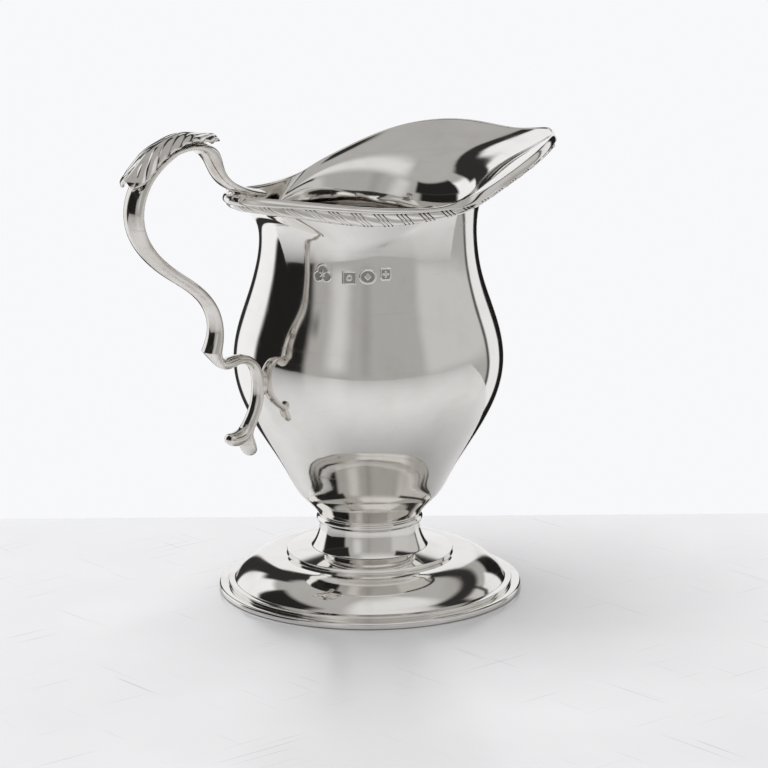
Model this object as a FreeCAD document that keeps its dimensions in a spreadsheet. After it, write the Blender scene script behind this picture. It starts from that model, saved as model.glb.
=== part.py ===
"""Silver cream jug on a spun foot, with a cast scroll handle and a gadrooned lip.

Frame: millimetres, +Z up, origin on the table at the centre of the foot,
+X towards the spout, handle on the -X side, mirror plane Y = 0.
"""

import FreeCAD
import Part
import Sketcher
import math
import os
import re
from FreeCAD import Vector

os.makedirs("parts", exist_ok=True)
doc = FreeCAD.newDocument("CreamJug")

# ---------------------------------------------------------------- sizes

SIZES = [
    ("foot_radius", 37.5, "outer radius of the base ring on the table"),
    ("base_ring_width", 3.9, "width of the base ring's flat underside"),
    ("base_ring_height", 1.6, "table to the top of the base ring"),
    ("base_edge_round", 0.7, "rounding of the base ring's outer top edge"),
    ("foot_step", 2.3, "how far the dome's skirt stands in from the base ring's edge"),
    ("skirt_height", 1.0, "height of the short upright skirt under the dome"),
    ("skirt_shelf", 1.6, "width of the narrow shelf between skirt and dome"),
    ("dome_rise", 6.2, "shelf to the top of the dome"),
    ("dome_round", 12.7, "radius of the dome's bulge"),
    ("knife_ring_radius", 20.6, "outer radius of the sharp ring above the dome"),
    ("knife_ring_height", 1.0, "height of the sharp ring"),
    ("land_rise", 1.0, "rise of the sharp ring's sloping top, from its edge to the trumpet"),
    ("stem_radius", 12.4, "radius of the stem at its narrowest"),
    ("stem_flare", 2.0, "how far the trumpet spreads between the stem and the sharp ring's top"),
    ("stem_rise", 7.2, "height from the sharp ring's edge to the collar"),
    ("foot_sheet", 0.8, "thickness of the spun foot"),
    ("collar_height", 1.9, "height of the collar between stem and bowl"),
    ("collar_bulge", 0.7, "how far the collar stands out from the stem"),
    ("body_height", 68.0, "top of the stem to the level of the neck"),
    ("belly_radius", 33.2, "largest radius of the bowl"),
    ("neck_radius", 26.5, "radius of the neck under the mouth"),
    ("bowl_wall", 0.8, "thickness of the raised bowl"),
    ("lip_low", 13.8, "neck level to the lowest part of the lip, at the sides"),
    ("lip_sweep", 11.5, "how far the lip rises from there to beside the spout"),
    ("spout_reach", 60.2, "axis to the tip of the spout"),
    ("heel_reach", 41.8, "axis to the lip under the handle"),
    ("mouth_half_width", 30.4, "half the width of the mouth"),
    ("lip_band_width", 2.1, "height of the plain wire along the lip"),
    ("lip_band_relief", 1.2, "how far the plain wire stands out"),
    ("gadroon_width", 2.7, "height of the gadrooned border under the wire"),
    ("gadroon_relief", 1.7, "how far the gadrooned border stands out"),
    ("handle_reach", 28.2, "lip under the handle to the handle's outermost centre line"),
    ("handle_level", 57.0, "height at which the handle meets the belly"),
    ("solder_gap", 0.15, "gap that the solder fills between handle and bowl"),
    ("scroll_depth", 3.2, "thickness of the handle in its own plane at the widest"),
    ("scroll_width", 6.5, "width of the handle across its plane at the widest"),
    ("leaf_width", 8.8, "width of the thumb leaf at its widest"),
    ("leaf_thickness", 1.5, "thickness of the thumb leaf along its middle"),
    ("leaf_droop", 1.1, "how far the leaf's edges droop over the scroll"),
    ("leaf_bite", 0.4, "how deep the leaf is let down onto the scroll"),
    ("solder_size", 3.0, "half length of each solder fillet"),
]

sheet = doc.addObject("Spreadsheet::Sheet", "Sizes")
sheet.set("A1", "size")
sheet.set("B1", "value in mm")
sheet.set("C1", "what it sets")
for row, (alias, value, note) in enumerate(SIZES, start=2):
    sheet.set("A%d" % row, alias)
    sheet.set("B%d" % row, str(value))
    sheet.set("C%d" % row, note)
    sheet.setAlias("B%d" % row, alias)
doc.recompute()


def size(alias):
    """The value of one cell of the sheet, in millimetres."""
    return float(sheet.get(alias))


def bound(text):
    """An expression in the sheet's aliases, as an object outside the sheet writes it."""
    return re.sub(r"[a-z]\w*", lambda word: "Sizes." + word.group(), text)


# ---------------------------------------------------------------- spun pieces

def origin_plane(body, role):
    """One of a body's own origin planes."""
    for feature in body.Origin.OriginFeatures:
        if feature.Role == role:
            return feature
    raise RuntimeError("no plane " + role)


def arc_through(start, end, radius, side):
    """A circle arc from start to end; side +1 puts its centre left of the chord."""
    middle = (start + end) * 0.5
    chord = end - start
    half = chord.Length * 0.5
    left = Vector(-chord.y, chord.x, 0).normalize()
    centre = middle + left * (side * math.sqrt(max(radius * radius - half * half, 0)))
    a = math.atan2(start.y - centre.y, start.x - centre.x)
    b = math.atan2(end.y - centre.y, end.x - centre.x)
    circle = Part.Circle(centre, Vector(0, 0, 1), radius)
    if side > 0:
        return Part.ArcOfCircle(circle, a, b if b > a else b + 2 * math.pi)
    return Part.ArcOfCircle(circle, b, a if a > b else a + 2 * math.pi)


def spun_piece(name, outline):
    """A body turned about Z from an outline of (radius, height, arc) in the sheet's sizes.

    Each radius and height is an expression. The third entry shapes the run to the next
    corner: None for a straight line, or (radius expression, side) for an arc.
    """
    body = doc.addObject("PartDesign::Body", name)
    body.Label = name
    sketch = body.newObject("Sketcher::SketchObject", name + "_outline")
    sketch.AttachmentSupport = [(origin_plane(body, "XZ_Plane"), "")]
    sketch.MapMode = "FlatFace"
    corners = []
    for radius, height, _ in outline:
        corners.append(Vector(sheet.evalExpression(radius), sheet.evalExpression(height), 0))
    ends = []
    for number, (_, _, arc) in enumerate(outline):
        start = corners[number]
        end = corners[(number + 1) % len(corners)]
        if arc:
            radius = sheet.evalExpression(arc[0])
            sketch.addGeometry(arc_through(start, end, radius, arc[1]), False)
            ends.append((1, 2) if arc[1] > 0 else (2, 1))
        else:
            sketch.addGeometry(Part.LineSegment(start, end), False)
            ends.append((1, 2))
    for number in range(len(outline)):
        after = (number + 1) % len(outline)
        sketch.addConstraint(Sketcher.Constraint(
            "Coincident", number, ends[number][1], after, ends[after][0]))
    for number, (radius, height, arc) in enumerate(outline):
        corner = corners[number]
        point = ends[number][0]
        across = sketch.addConstraint(Sketcher.Constraint(
            "DistanceX", -1, 1, number, point, corner.x))
        sketch.setExpression("Constraints[%d]" % across, bound(radius))
        up = sketch.addConstraint(Sketcher.Constraint(
            "DistanceY", -1, 1, number, point, corner.y))
        sketch.setExpression("Constraints[%d]" % up, bound(height))
        if arc:
            bend = sketch.addConstraint(Sketcher.Constraint(
                "Radius", number, sketch.Geometry[number].Radius))
            sketch.setExpression("Constraints[%d]" % bend, bound(arc[0]))
    turned = body.newObject("PartDesign::Revolution", name + "_turned")
    turned.Profile = sketch
    turned.ReferenceAxis = (sketch, ["V_Axis"])
    turned.Angle = 360
    doc.recompute()
    return body


def base_ring():
    """The solid ring that the foot stands on, with its outer top edge rounded."""
    inner = "foot_radius - base_ring_width"
    return spun_piece("foot_base_ring", [
        (inner, "0", None),
        ("foot_radius", "0", None),
        ("foot_radius", "base_ring_height - base_edge_round", ("base_edge_round", 1)),
        ("foot_radius - base_edge_round", "base_ring_height", None),
        (inner, "base_ring_height", None)])


def pedestal():
    """The spun foot: skirt, bulging dome, sharp ring and trumpet stem, one sheet thick."""
    skirt = "(foot_radius - foot_step)"
    shelf = "(base_ring_height + skirt_height)"
    dome_edge = "(%s - skirt_shelf)" % skirt
    dome_top = "(%s + dome_rise)" % shelf
    ring_top = "(%s + knife_ring_height)" % dome_top
    stem_top = "(%s + stem_rise)" % ring_top
    land_top = "(%s + land_rise)" % ring_top
    trumpet_foot = "(stem_radius + stem_flare)"
    flare_round = "(((stem_rise - land_rise)^2 + stem_flare^2) / (2 * stem_flare))"
    return spun_piece("foot_pedestal", [
        (skirt, "base_ring_height", None),
        (skirt, shelf, None),
        (dome_edge, shelf, ("dome_round", 1)),
        ("knife_ring_radius + foot_sheet", dome_top, None),
        ("knife_ring_radius", dome_top, None),
        ("knife_ring_radius", ring_top, None),
        (trumpet_foot, land_top, (flare_round, -1)),
        ("stem_radius", stem_top, None),
        ("stem_radius - foot_sheet", stem_top, (flare_round + " + foot_sheet", 1)),
        (trumpet_foot + " - foot_sheet", land_top + " - foot_sheet", None),
        ("knife_ring_radius", dome_top + " - foot_sheet", ("dome_round - foot_sheet", -1)),
        (dome_edge + " - foot_sheet / 2", shelf + " - foot_sheet", None),
        (skirt + " - foot_sheet", shelf + " - foot_sheet", None),
        (skirt + " - foot_sheet", "base_ring_height", None)])


# ---------------------------------------------------------------- smooth skins

COLUMNS = 16


def poles_at(rings, station):
    """Poles of the closed curve that the skin over these rings has at a station between rings."""
    first = blend(rings[0], rings[1], -1)
    last = blend(rings[-1], rings[-2], -1)
    padded = [first] + list(rings) + [last]
    span = min(int(station), len(rings) - 2)
    t = station - span
    weights = ((1 - t) ** 3, 3 * t ** 3 - 6 * t ** 2 + 4, 3 * t * (1 + t - t * t) + 1, t ** 3)
    poles = []
    for column in range(len(rings[0])):
        total = Vector(0, 0, 0)
        for step, weight in enumerate(weights):
            total += padded[span + step][column] * (weight / 6)
        poles.append(total)
    return poles


def blend(ring, other, share):
    """A ring part of the way from one ring to another."""
    return [a + (b - a) * share for a, b in zip(ring, other)]


def turned(ring):
    """The poles in the order that makes a periodic spline start beside the first one."""
    return ring[-1:] + ring[:-1]


def skin(rings):
    """The smooth tube whose control cage is these rings: closed around, open at both ends."""
    rings = [rings[0], blend(rings[0], rings[1], 1 / 3)] + list(rings[1:-1]) + [
        blend(rings[-1], rings[-2], 1 / 3), rings[-1]]
    return spline_tube(rings)


def spline_tube(rings):
    """A cubic surface through its end rings, periodic around, with these rings as its poles."""
    around = len(rings[0])
    spans = len(rings) - 3
    surface = Part.BSplineSurface()
    surface.buildFromPolesMultsKnots(
        [list(column) for column in zip(*[turned(ring) for ring in rings])],
        [1] * (around + 1), [4] + [1] * (spans - 1) + [4],
        list(range(around + 1)), list(range(spans + 1)), True, False, 3, 3)
    return surface


def closed_curve(poles):
    """The closed cubic curve with these poles."""
    curve = Part.BSplineCurve()
    around = len(poles)
    curve.buildFromPolesMultsKnots(turned(poles), [1] * (around + 1), list(range(around + 1)), True, 3)
    return curve


def flat_cap(poles):
    """The flat face inside a closed curve whose poles lie in one plane."""
    return Part.Face(Part.Wire([closed_curve(poles).toShape()]))


def band_between(poles, others):
    """The straight-ruled ring between two closed curves."""
    surface = Part.BSplineSurface()
    around = len(poles)
    surface.buildFromPolesMultsKnots(
        [[a, b] for a, b in zip(turned(poles), turned(others))],
        [1] * (around + 1), [2, 2], list(range(around + 1)), [0, 1], True, False, 3, 1)
    return surface.toShape()


def solid_of(faces, name):
    """One closed solid sewn from faces that meet edge to edge."""
    shell = Part.Shell(faces)
    if not shell.isClosed():
        shell = Part.makeShell(faces)
        shell.sewShape()
    solid = Part.Solid(shell)
    if solid.Volume < 0:
        solid.reverse()
    if not solid.isValid():
        raise RuntimeError(name + " is not a valid solid")
    return solid


def feature(name, shape):
    """A sub-part made straight from a shape."""
    piece = doc.addObject("Part::Feature", name)
    piece.Label = name
    piece.Shape = shape
    piece.Placement = FreeCAD.Placement()
    return piece


# ---------------------------------------------------------------- bowl

COLUMN_ANGLES = [math.pi - 2 * math.pi * column / COLUMNS for column in range(COLUMNS)]
CIRCLE_POLE = 3 / (2 + math.cos(2 * math.pi / COLUMNS))

FOOT_TOP = (size("base_ring_height") + size("skirt_height") + size("dome_rise")
            + size("knife_ring_height") + size("stem_rise"))
NECK_LEVEL = FOOT_TOP + size("body_height")

# Rings of the round body, up to the neck: share of the body height, then how far the radius
# has gone from the stem to the belly, or above the belly from the neck to the belly.
BELLY_RINGS = [(0.0, -0.01), (0.053, 0.038), (0.109, 0.274), (0.206, 0.413), (0.338, 0.707),
               (0.471, 0.942), (0.603, 1.029)]
NECK_RINGS = [(0.735, 0.851), (0.868, 0.328), (1.0, 0.0)]
BOTTOM_SHARE = 0.24

# Lip, from the heel under the handle to the tip of the spout: share of the reach along X,
# share of the half width along Y, share of the lip's sweep above its lowest part.
LIP_SHAPE = [(-1.077, 0.0, 0.330), (-0.842, 0.365, 0.350), (-0.392, 0.714, 0.078),
             (0.045, 1.030, 0.0), (0.292, 0.990, 0.417), (0.565, 0.885, 0.887),
             (0.791, 0.539, 1.0), (0.927, 0.214, 0.661), (1.033, 0.0, 0.826)]
LIP_STEP = size("lip_band_width") + size("gadroon_width")
WALL_DROP = 0.45
SPREAD_FOR_FULL_LEAN = 13.0
STRONGEST_LEAN = 1.3
THROAT_SHARE = 0.74


def circle_ring(radius, height):
    """A ring of poles for a true circle about Z, first pole on the handle's side."""
    reach = radius * CIRCLE_POLE
    return [Vector(reach * math.cos(a), reach * math.sin(a), height) for a in COLUMN_ANGLES]


def lip_ring():
    """The poles of the bowl's top edge, going round through +Y."""
    half = []
    for along, across, up in LIP_SHAPE:
        reach = size("heel_reach") if along < 0 else size("spout_reach")
        half.append(Vector(along * reach, across * size("mouth_half_width"),
                           NECK_LEVEL + size("lip_low") + up * size("lip_sweep")))
    return half + [Vector(p.x, -p.y, p.z) for p in half[-2:0:-1]]


def bowl_rings():
    """The cage of the bowl's outside, from its flat bottom to the lip."""
    stem = size("stem_radius")
    belly = size("belly_radius")
    neck = size("neck_radius")
    rings = [circle_ring(stem * BOTTOM_SHARE, FOOT_TOP)]
    for up, out in BELLY_RINGS:
        rings.append(circle_ring(stem + out * (belly - stem), FOOT_TOP + up * size("body_height")))
    for up, out in NECK_RINGS:
        rings.append(circle_ring(neck + out * (belly - neck), FOOT_TOP + up * size("body_height")))
    neck_ring = rings[-1]
    lip = lip_ring()
    steps = []
    for low, top in zip(neck_ring, lip):
        fall = low - top
        spread = min(math.hypot(fall.x, fall.y) / SPREAD_FOR_FULL_LEAN, STRONGEST_LEAN)
        lean = Vector(fall.x * spread, fall.y * spread, fall.z * WALL_DROP)
        steps.append(lean.normalize() * LIP_STEP)
    lower = [top + step * 2 for top, step in zip(lip, steps)]
    turn = []
    for low, top in zip(neck_ring, lower):
        turn.append(low + Vector(0, 0, (top.z - low.z) * THROAT_SHARE))
    middle = [top + step for top, step in zip(lip, steps)]
    return rings + [turn, lower, middle, lip]


def outward(rings):
    """The unit normal at every pole of a cage, pointing out of the bowl."""
    normals = []
    for level, ring in enumerate(rings):
        below = rings[max(level - 1, 0)]
        above = rings[min(level + 1, len(rings) - 1)]
        row = []
        for column in range(len(ring)):
            up = above[column] - below[column]
            along = ring[(column + 1) % len(ring)] - ring[column - 1]
            row.append(up.cross(along).normalize())
        normals.append(row)
    return normals


def pushed(ring, normals, reach):
    """A ring moved along its normals."""
    return [pole + normal * reach for pole, normal in zip(ring, normals)]


BOWL_RINGS = bowl_rings()
BOWL_NORMALS = outward(BOWL_RINGS)
BOWL_OUTSIDE = skin(BOWL_RINGS)
LIP_TOP = len(BOWL_RINGS) - 1
BAND_FOOT = LIP_TOP - size("lip_band_width") / LIP_STEP
GADROON_FOOT = LIP_TOP - 1


def bowl():
    """The raised bowl with its spout: an even wall, open at the mouth."""
    wall = size("bowl_wall")
    inner = [pushed(ring, normals, -wall) for ring, normals in zip(BOWL_RINGS, BOWL_NORMALS)]
    faces = [BOWL_OUTSIDE.toShape(), skin(inner).toShape(), flat_cap(BOWL_RINGS[0]),
             flat_cap(inner[0]), band_between(BOWL_RINGS[-1], inner[-1])]
    return feature("bowl", solid_of(faces, "bowl"))


def bowl_envelope():
    """The round body's outside as a filled solid, which trims what is soldered to it."""
    brim = len(BELLY_RINGS) + 1
    faces = [BOWL_OUTSIDE.toShape(0, COLUMNS, 0, brim), flat_cap(BOWL_RINGS[0]),
             flat_cap(poles_at(BOWL_RINGS, brim))]
    return solid_of(faces, "bowl_envelope")


# ---------------------------------------------------------------- lip mouldings

def moulding(low, top, relief):
    """The rounded outer surface of a moulding between two stations on the bowl's wall."""
    normals = BOWL_NORMALS[-1]
    crest = relief * 4 / 3
    foot = poles_at(BOWL_RINGS, low)
    head = poles_at(BOWL_RINGS, top)
    return spline_tube([foot, pushed(foot, normals, crest), pushed(head, normals, crest), head])


def lip_wire():
    """The plain half-round wire soldered along the whole lip."""
    outer = moulding(BAND_FOOT, LIP_TOP, size("lip_band_relief"))
    inner = BOWL_OUTSIDE.toShape(0, COLUMNS, BAND_FOOT, LIP_TOP)
    return feature("lip_wire", solid_of([outer.toShape(), inner], "lip_wire"))


def gadroon_border(name, first, last):
    """Half of the cast border under the lip wire, from the heel to the tip of the spout."""
    outer = moulding(GADROON_FOOT, BAND_FOOT, size("gadroon_relief"))
    faces = [outer.toShape(first, last, 0, 1),
             BOWL_OUTSIDE.toShape(first, last, GADROON_FOOT, BAND_FOOT)]
    for column in (first, last):
        rim = outer.uIso(column).toShape(0, 1)
        seat = BOWL_OUTSIDE.uIso(column).toShape(GADROON_FOOT, BAND_FOOT)
        faces.append(Part.Face(Part.Wire([rim, seat])))
    return feature(name, solid_of(faces, name))


# ---------------------------------------------------------------- handle

SECTION_POLES = 8
SECTION_POLE = 3 / (2 + math.cos(2 * math.pi / SECTION_POLES))


def body_radius(height):
    """The bowl's outer radius at a height of its round body."""
    low, high = 1.0, LIP_TOP - 4.0
    for _ in range(40):
        middle = (low + high) / 2
        if BOWL_OUTSIDE.value(0, middle).z < height:
            low = middle
        else:
            high = middle
    return abs(BOWL_OUTSIDE.value(0, low).x)


BELLY_SEAT = body_radius(size("handle_level"))
HEEL_TOP = BOWL_OUTSIDE.value(0, LIP_TOP).z

# The handle's centre line from the lip to the forked tail: out, up, then the section's share
# of the full depth and width there. See handle_point for out and up.
HANDLE = [(-0.290, 1.013, 0.50, 1.14), (-0.150, 1.030, 0.62, 1.06), (0.040, 1.080, 0.74, 0.92),
          (0.116, 1.165, 0.82, 0.86), (0.122, 1.250, 1.45, 0.86), (0.257, 1.299, 0.75, 0.92),
          (0.389, 1.310, 0.75, 0.95), (0.531, 1.292, 0.78, 0.97), (0.704, 1.242, 0.90, 1.00),
          (0.873, 1.161, 1.00, 1.03), (1.000, 1.036, 1.08, 1.05), (1.017, 0.898, 1.08, 1.03),
          (0.920, 0.776, 1.02, 0.93), (0.757, 0.676, 0.94, 0.84), (0.584, 0.602, 0.90, 0.78),
          (0.437, 0.525, 0.90, 0.76), (0.348, 0.427, 0.92, 0.76), (0.349, 0.313, 0.95, 0.80),
          (0.428, 0.219, 1.25, 0.96), (0.385, 0.162, 0.66, 0.62), (0.318, 0.130, 1.02, 0.70),
          (0.175, 0.157, 0.76, 0.54), (0.059, 0.140, 0.76, 0.54), (-0.006, 0.086, 0.78, 0.56),
          (-0.003, 0.013, 0.78, 0.58), (0.016, -0.057, 0.78, 0.58), (0.057, -0.121, 0.80, 0.58),
          (0.118, -0.180, 0.84, 0.60), (0.192, -0.236, 0.90, 0.64)]
BRACKET_END = 7
MAIN_SCROLL_END = 18
TAIL_OUT = [(0.246, -0.265, 1.20, 0.70), (0.335, -0.276, 1.10, 0.70), (0.410, -0.264, 0.80, 0.58)]
TAIL_DOWN = [(0.214, -0.278, 1.20, 0.70), (0.196, -0.328, 1.20, 0.70), (0.170, -0.373, 0.90, 0.58)]
SEAT_DEPTH = 0.75

# The thumb leaf over the handle's top: the station under it, then its share of thickness
# and width. Its root and its tip stand clear of the scroll, at an out and up of their own.
LEAF = [(5, 0.90, 0.74), (6, 1.0, 0.84), (7, 1.0, 0.92), (8, 1.0, 1.0), (9, 0.90, 1.0)]
LEAF_ROOT = (0.098, 1.322, 0.80, 0.62)
LEAF_TIP = (1.010, 1.150, 0.60, 0.80)


def handle_point(out, up):
    """A place in the handle's plane.

    Up runs from 0 where the handle meets the belly to 1 at the lip. Out is the distance
    from the line between those two, as a share of the handle's reach.
    """
    seat = BELLY_SEAT + size("solder_gap") + SEAT_DEPTH * size("scroll_depth") / 2
    radius = seat + (size("heel_reach") - seat) * up + out * size("handle_reach")
    height = size("handle_level") + (HEEL_TOP - size("handle_level")) * up
    return Vector(-radius, 0, height)


def directions(centres):
    """The unit direction of a centre line at each of its points."""
    last = len(centres) - 1
    return [(centres[min(number + 1, last)] - centres[max(number - 1, 0)]).normalize()
            for number in range(len(centres))]


def section(centre, direction, depth, width, droop=0.0):
    """A ring of poles for an oval across the handle, its edges lowered by the droop."""
    across = Vector(0, 1, 0)
    rise = across.cross(direction).normalize()
    ring = []
    for number in range(SECTION_POLES):
        turn = 2 * math.pi * number / SECTION_POLES
        side = math.sin(turn)
        lift = math.cos(turn) * depth / 2 * SECTION_POLE - droop * side * side
        ring.append(centre + rise * lift + across * (side * width / 2 * SECTION_POLE))
    return ring


def handle_rings(stations):
    """Rings of poles through stations of (out, up, share of depth, share of width)."""
    centres = [handle_point(out, up) for out, up, _, _ in stations]
    rings = []
    for centre, direction, station in zip(centres, directions(centres), stations):
        depth = station[2] * size("scroll_depth")
        width = station[3] * size("scroll_width")
        rings.append(section(centre, direction, depth, width))
    return rings


def bar(rings, name):
    """A solid bar over a run of rings, flat at both ends."""
    return solid_of([skin(rings).toShape(), flat_cap(rings[0]), flat_cap(rings[-1])], name)


HANDLE_RINGS = handle_rings(HANDLE)


def handle_bar(name, first, last, *trims):
    """A stretch of the handle between two of its stations, trimmed by what it lies against."""
    return feature(name, trimmed(bar(HANDLE_RINGS[first:last + 1], name), trims))


def trimmed(shape, trims):
    """The largest solid left of a shape after the others are cut from it."""
    for trim in trims:
        shape = shape.cut(trim)
    return max(shape.Solids, key=lambda solid: solid.Volume)


def thumb_leaf(*trims):
    """The cast leaf that caps the top of the handle, its edges drooping over the scroll."""
    thick = size("leaf_thickness")
    centres = [handle_point(out, up) for out, up, _, _ in HANDLE]
    headings = directions(centres)
    spine = [handle_point(LEAF_ROOT[0], LEAF_ROOT[1])]
    for station, share, _ in LEAF:
        rise = Vector(0, 1, 0).cross(headings[station]).normalize()
        lift = (HANDLE[station][2] * size("scroll_depth") + share * thick) / 2 - size("leaf_bite")
        spine.append(centres[station] + rise * lift)
    spine.append(handle_point(LEAF_TIP[0], LEAF_TIP[1]))
    shares = [LEAF_ROOT[2:]] + [(share, wide) for _, share, wide in LEAF] + [LEAF_TIP[2:]]
    rings = []
    for centre, heading, (share, wide) in zip(spine, directions(spine), shares):
        rings.append(section(centre, heading, share * thick, wide * size("leaf_width"),
                             size("leaf_droop") * wide))
    return feature("handle_leaf_cap", trimmed(bar(rings, "handle_leaf_cap"), trims))


def forked_tail(*trims):
    """The two short prongs in which the lower scroll ends."""
    prongs = []
    for stations in (TAIL_OUT, TAIL_DOWN):
        rings = [HANDLE_RINGS[-1]] + handle_rings(stations)
        prongs.append(bar(rings, "prong"))
    return feature("handle_forked_tail", trimmed(prongs[0].fuse(prongs[1]), trims))


def collar(*trims):
    """The bead that hides the joint between the stem and the bowl."""
    bead_round = "((collar_height^2 / 4 + collar_bulge^2) / (2 * collar_bulge))"
    stem_top = "(base_ring_height + skirt_height + dome_rise + knife_ring_height + stem_rise)"
    blank = spun_piece("collar_blank", [
        ("stem_radius - foot_sheet", stem_top, None),
        ("stem_radius", stem_top, (bead_round, 1)),
        ("stem_radius", stem_top + " + collar_height", None),
        ("stem_radius - foot_sheet", stem_top + " + collar_height", None)])
    return feature("foot_collar", trimmed(blank.Shape, trims))


def solder(name, centre, reach, *trims):
    """A fillet of solder about a joint: an oval lump trimmed by the pieces that it joins."""
    lump = Part.makeSphere(1.0)
    grow = FreeCAD.Matrix()
    grow.scale(reach)
    lump = lump.transformGeometry(grow)
    lump.translate(centre)
    return feature(name, trimmed(lump, trims))


ring_piece = base_ring()
pedestal_piece = pedestal()
bowl_piece = bowl()
body = bowl_envelope()
collar_piece = collar(body)
wire_piece = lip_wire()
left_border = gadroon_border("gadroon_border_left", 0, COLUMNS // 2)
right_border = gadroon_border("gadroon_border_right", COLUMNS // 2, COLUMNS)
bracket = handle_bar("handle_rim_bracket", 0, BRACKET_END, bowl_piece.Shape, wire_piece.Shape)
main_scroll = handle_bar("handle_main_scroll", BRACKET_END, MAIN_SCROLL_END)
lower_scroll = handle_bar("handle_lower_scroll", MAIN_SCROLL_END, len(HANDLE) - 1, body)
tail = forked_tail(body, lower_scroll.Shape)
leaf = thumb_leaf(bracket.Shape, main_scroll.Shape)

fillet = size("solder_size")
bracket_rise = handle_point(HANDLE[1][0], HANDLE[1][1]).z - HEEL_TOP
heel_low = HEEL_TOP - fillet * 0.6
heel_high = HEEL_TOP + bracket_rise * 0.9
heel_centre = Vector(-size("heel_reach") + fillet, 0, (heel_low + heel_high) / 2)
heel_reach = Vector(fillet * 1.2, fillet, (heel_high - heel_low) / 2)
heel_solder = solder("solder_at_lip", heel_centre, heel_reach,
                     bowl_piece.Shape, wire_piece.Shape, bracket.Shape)
belly_centre = Vector(-BELLY_SEAT - size("solder_gap"), 0, size("handle_level"))
belly_solder = solder("solder_at_belly", belly_centre, Vector(fillet / 3, fillet / 2, fillet),
                      body, lower_scroll.Shape)

PIECES = [ring_piece, pedestal_piece, collar_piece, bowl_piece, wire_piece, left_border,
          right_border, bracket, main_scroll, lower_scroll, tail, leaf, heel_solder,
          belly_solder]

doc.recompute()
for item in doc.Objects:
    if "Invalid" in item.State or "Error" in item.State:
        raise RuntimeError(item.Label + " failed to recompute")
for piece in PIECES:
    shape = piece.Shape
    if shape.isNull() or not shape.isValid() or not shape.Solids:
        raise RuntimeError(piece.Label + " has no valid solid")
for piece in PIECES:
    piece.Shape.exportStep("parts/%s.step" % piece.Label)
    box = piece.Shape.BoundBox
    print("%-22s %9.1f mm3  %d solid(s)  x %.1f..%.1f  y %.1f..%.1f  z %.1f..%.1f" % (
        piece.Label, piece.Shape.Volume, len(piece.Shape.Solids),
        box.XMin, box.XMax, box.YMin, box.YMax, box.ZMin, box.ZMax))
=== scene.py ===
# %% [markdown]
# # A silver cream jug, piece by piece
# The jug is a raised bowl on a spun foot, with a lip trimmed by a cast border and a cast
# handle of scrolls. The frame loaded here holds the same pieces as plain solids at their true
# size in metres: X runs towards the spout, the handle is on the -X side, and the table is Z = 0.
# Its solids are kept, with their placing applied, and each is hidden once a piece built below takes its
# place.

# %% The finished frame
import math
import bmesh
import bpy
from mathutils import Matrix, Vector, noise


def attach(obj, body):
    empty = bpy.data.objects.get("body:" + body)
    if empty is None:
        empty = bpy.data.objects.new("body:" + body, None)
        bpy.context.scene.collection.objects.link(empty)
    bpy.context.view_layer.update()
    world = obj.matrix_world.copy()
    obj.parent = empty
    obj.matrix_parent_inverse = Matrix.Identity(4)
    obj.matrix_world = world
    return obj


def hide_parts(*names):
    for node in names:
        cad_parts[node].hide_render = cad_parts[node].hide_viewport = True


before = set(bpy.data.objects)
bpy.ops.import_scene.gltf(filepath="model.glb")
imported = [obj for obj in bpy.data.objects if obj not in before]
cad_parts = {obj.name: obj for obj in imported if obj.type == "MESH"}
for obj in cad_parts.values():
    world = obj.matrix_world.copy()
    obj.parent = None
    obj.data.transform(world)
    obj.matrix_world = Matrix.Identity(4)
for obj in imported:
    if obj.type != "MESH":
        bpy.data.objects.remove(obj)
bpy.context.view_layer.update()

MM = 0.001

# %% [markdown]
# ## The camera
# A long lens far away flattens the jug as a careful catalogue view does. It stands to the
# handle's left, a little above the lip, and looks slightly down. A turn about the vertical, a
# tilt and a hair of roll are three rotations multiplied together, which keeps each one readable.

# %% Camera
VIEW_TURN = math.radians(-40)
lens = bpy.data.cameras.new("camera")
lens.sensor_width = 36
lens.lens = 156.99
lens.shift_x = 0.01997
camera = bpy.data.objects.new("camera", lens)
bpy.context.collection.objects.link(camera)
camera.location = (-0.5142, -0.6128, 0.2449)
camera.rotation_euler = (Matrix.Rotation(VIEW_TURN, 3, "Z")
                         @ Matrix.Rotation(math.radians(76.4), 3, "X")
                         @ Matrix.Rotation(math.radians(-0.4), 3, "Z")).to_euler()
bpy.context.scene.camera = camera
bpy.context.scene.view_settings.view_transform = "Standard"
print("camera", round(camera.location.length / MM), "mm from the middle of the foot")

# %% [markdown]
# ## Sums for materials
# A material is a web of nodes, and most of them only add or multiply. This small class holds
# one socket, so that a sum typed in Python adds its own Math nodes. Any other node comes from
# the one method that takes its kind, its settings and what goes into its sockets.

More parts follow.
